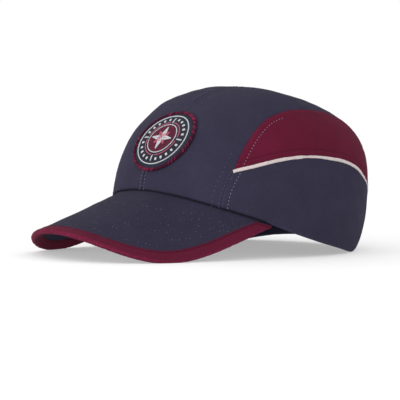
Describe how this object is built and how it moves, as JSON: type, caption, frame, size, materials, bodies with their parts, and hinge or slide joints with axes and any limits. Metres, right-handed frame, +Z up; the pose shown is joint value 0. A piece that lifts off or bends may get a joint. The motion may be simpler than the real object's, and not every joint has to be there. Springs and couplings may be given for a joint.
{
  "type": "baseball style cap",
  "caption": "Soft panelled cap with a curved front peak, contrast side panels, corded piping, a bound peak edge and a round sewn patch.",
  "frame": {"origin": "middle of the underside of the whole box, on the surface that the cap rests on", "axes": "+Z up, -Y to the front where the peak is, +X to the wearer's left; the halves mirror across X = 0, apart from the patch"},
  "size_m": [0.155, 0.2576, 0.1125],
  "materials": {
    "navy_cloth": "matte cotton twill",
    "burgundy_cloth": "matte cotton twill",
    "burgundy_binding": "matte bias tape",
    "grey_piping": "matte corded piping",
    "badge_thread": "satin embroidery thread",
    "border_thread": "satin overlocked thread"
  },
  "bodies": {
    "root": {"crown_centre_left": "navy_cloth", "crown_centre_right": "navy_cloth", "side_upper_left": "burgundy_cloth", "side_upper_right": "burgundy_cloth", "side_lower_left": "navy_cloth", "side_lower_right": "navy_cloth", "piping_left": "grey_piping", "piping_right": "grey_piping", "peak": "navy_cloth", "peak_binding": "burgundy_binding", "badge": "badge_thread", "badge_border": "border_thread"}
  },
  "joints": []
}
